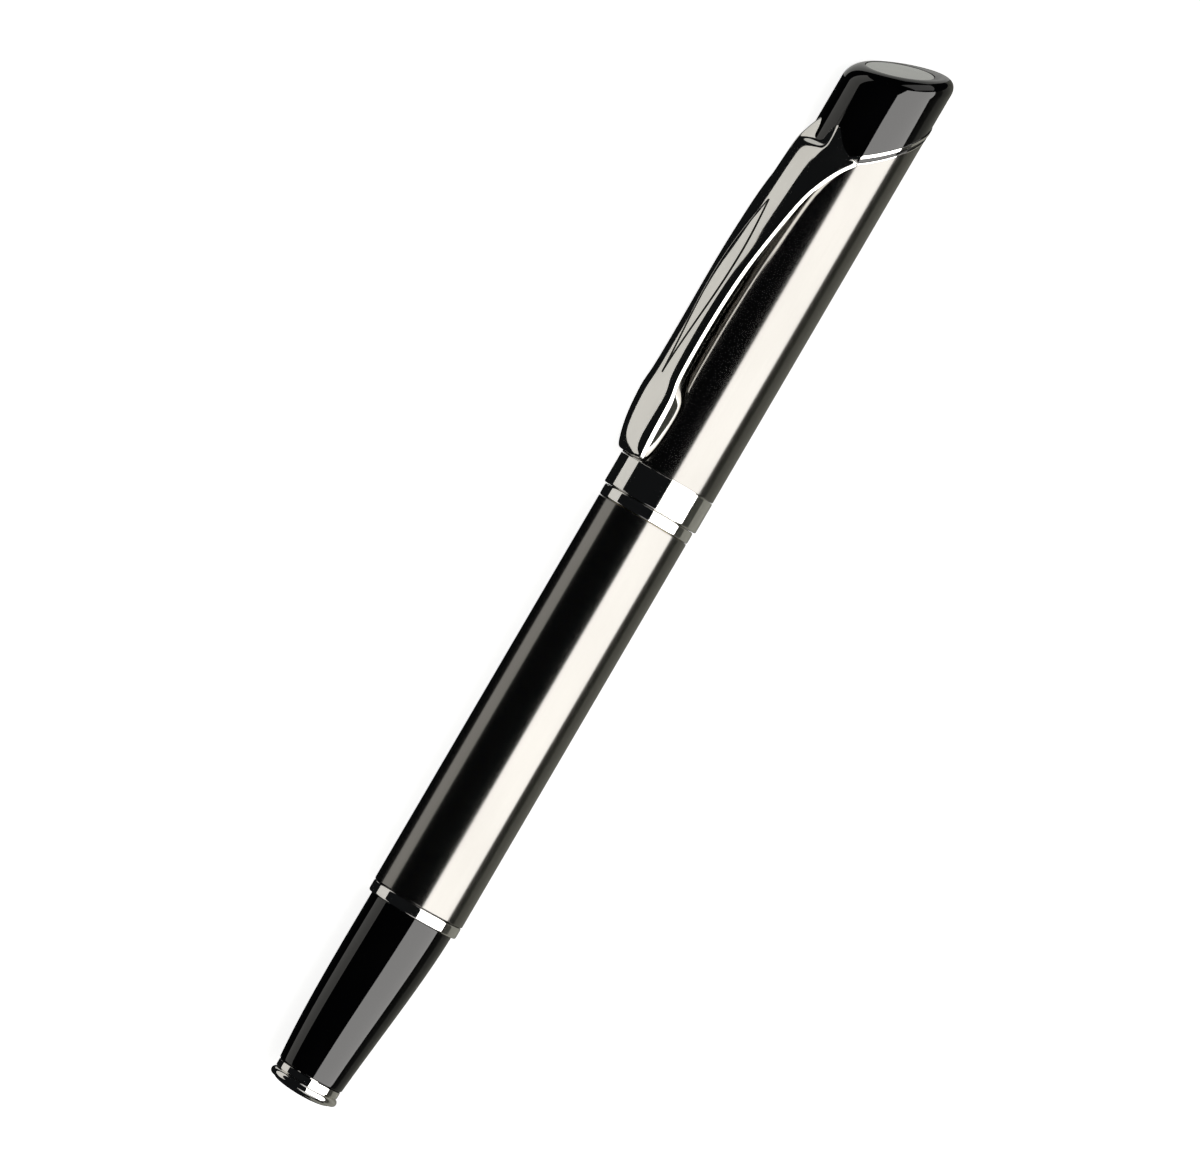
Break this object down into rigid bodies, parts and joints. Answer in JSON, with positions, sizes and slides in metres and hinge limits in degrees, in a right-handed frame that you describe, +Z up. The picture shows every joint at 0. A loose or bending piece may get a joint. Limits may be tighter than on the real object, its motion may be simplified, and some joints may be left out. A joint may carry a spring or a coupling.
{
  "type": "rollerball pen",
  "caption": "Capped metal rollerball pen with a black tapered tail, chrome bands, slanted black crown and a sculpted clip.",
  "frame": {"origin": "on the table, under the middle of the lying pen's box", "axes": "+X along the pen from the cap's crown to the tail, +Z up from the table; the clip is on the -Y side with its edge on the table"},
  "size_m": [0.138, 0.0142, 0.0121],
  "materials": {
    "chrome": "polished chrome plate",
    "black_lacquer": "deep gloss black",
    "satin_gunmetal": "fine satin, warm grey plating",
    "clip_chrome": "polished chrome plate",
    "polished_disc": "polished dark grey plate",
    "black_grip": "moulded gloss",
    "brass": "turned",
    "black_plastic": "moulded",
    "white_plastic": "moulded",
    "refill_steel": "drawn tube, satin",
    "ink_fibre": "wound fibre, soaked with black ink",
    "nickel_silver": "turned",
    "ball_carbide": "ground and polished",
    "spring_steel": "drawn wire"
  },
  "bodies": {
    "barrel": {"tail_finial": "chrome", "tail_cone": "black_lacquer", "tail_ring": "chrome", "barrel_tube": "satin_gunmetal", "thread_bush": "brass", "spring_seat": "black_plastic", "refill_spring": "spring_steel"},
    "refill": {"refill_end_plug": "white_plastic", "refill_tube": "refill_steel", "ink_fibre": "ink_fibre", "feed_rod": "white_plastic", "refill_nose": "white_plastic", "point_tip": "nickel_silver"},
    "ball": {"point_ball": "ball_carbide"},
    "section": {"section_ferrule": "brass", "section_ring": "chrome", "section_collar": "chrome", "section_grip": "black_grip", "section_nose": "chrome"},
    "snap_ring": {"snap_ring": "spring_steel"},
    "cap": {"cap_band": "chrome", "cap_tube": "satin_gunmetal", "cap_liner": "black_plastic", "cap_bush": "brass", "crown_screw": "spring_steel", "trim_ring": "chrome", "cap_crown": "black_lacquer", "crown_disc": "polished_disc", "clip_base": "clip_chrome"},
    "clip": {"clip_arm": "clip_chrome"}
  },
  "joints": [
    {"name": "section_travel", "type": "slide", "parent": "barrel", "child": "refill", "axis": [-1, 0, 0], "range_m": [0, 0.006], "deforming": ["refill_spring"]},
    {"name": "section_turn", "type": "hinge", "parent": "refill", "child": "section", "pos_m": [-0.01138, 0.00108, 0.00605], "axis": [-1, 0, 0], "range_deg": [0, 2881]},
    {"name": "cap_turn", "type": "hinge", "parent": "section", "child": "snap_ring", "pos_m": [-0.01138, 0.00108, 0.00605], "axis": [-1, 0, 0], "continuous": true},
    {"name": "cap_pull", "type": "slide", "parent": "snap_ring", "child": "cap", "axis": [-1, 0, 0], "range_m": [0, 0.055]},
    {"name": "clip_flex", "type": "hinge", "parent": "cap", "child": "clip", "pos_m": [-0.04898, -0.00586, 0.00295], "axis": [0, 0.4075, -0.9132], "range_deg": [0, 4], "stiffness_Nm_per_rad": 1.5, "springref_deg": -1.15},
    {"name": "ball_roll", "type": "hinge", "parent": "refill", "child": "ball", "pos_m": [-0.04743, 0.00108, 0.00605], "axis": [0, 1, 0], "continuous": true}
  ],
  "couplings": [
    {"joint": "section_turn", "follows": "section_travel", "rad_per_m": 8377.6}
  ]
}
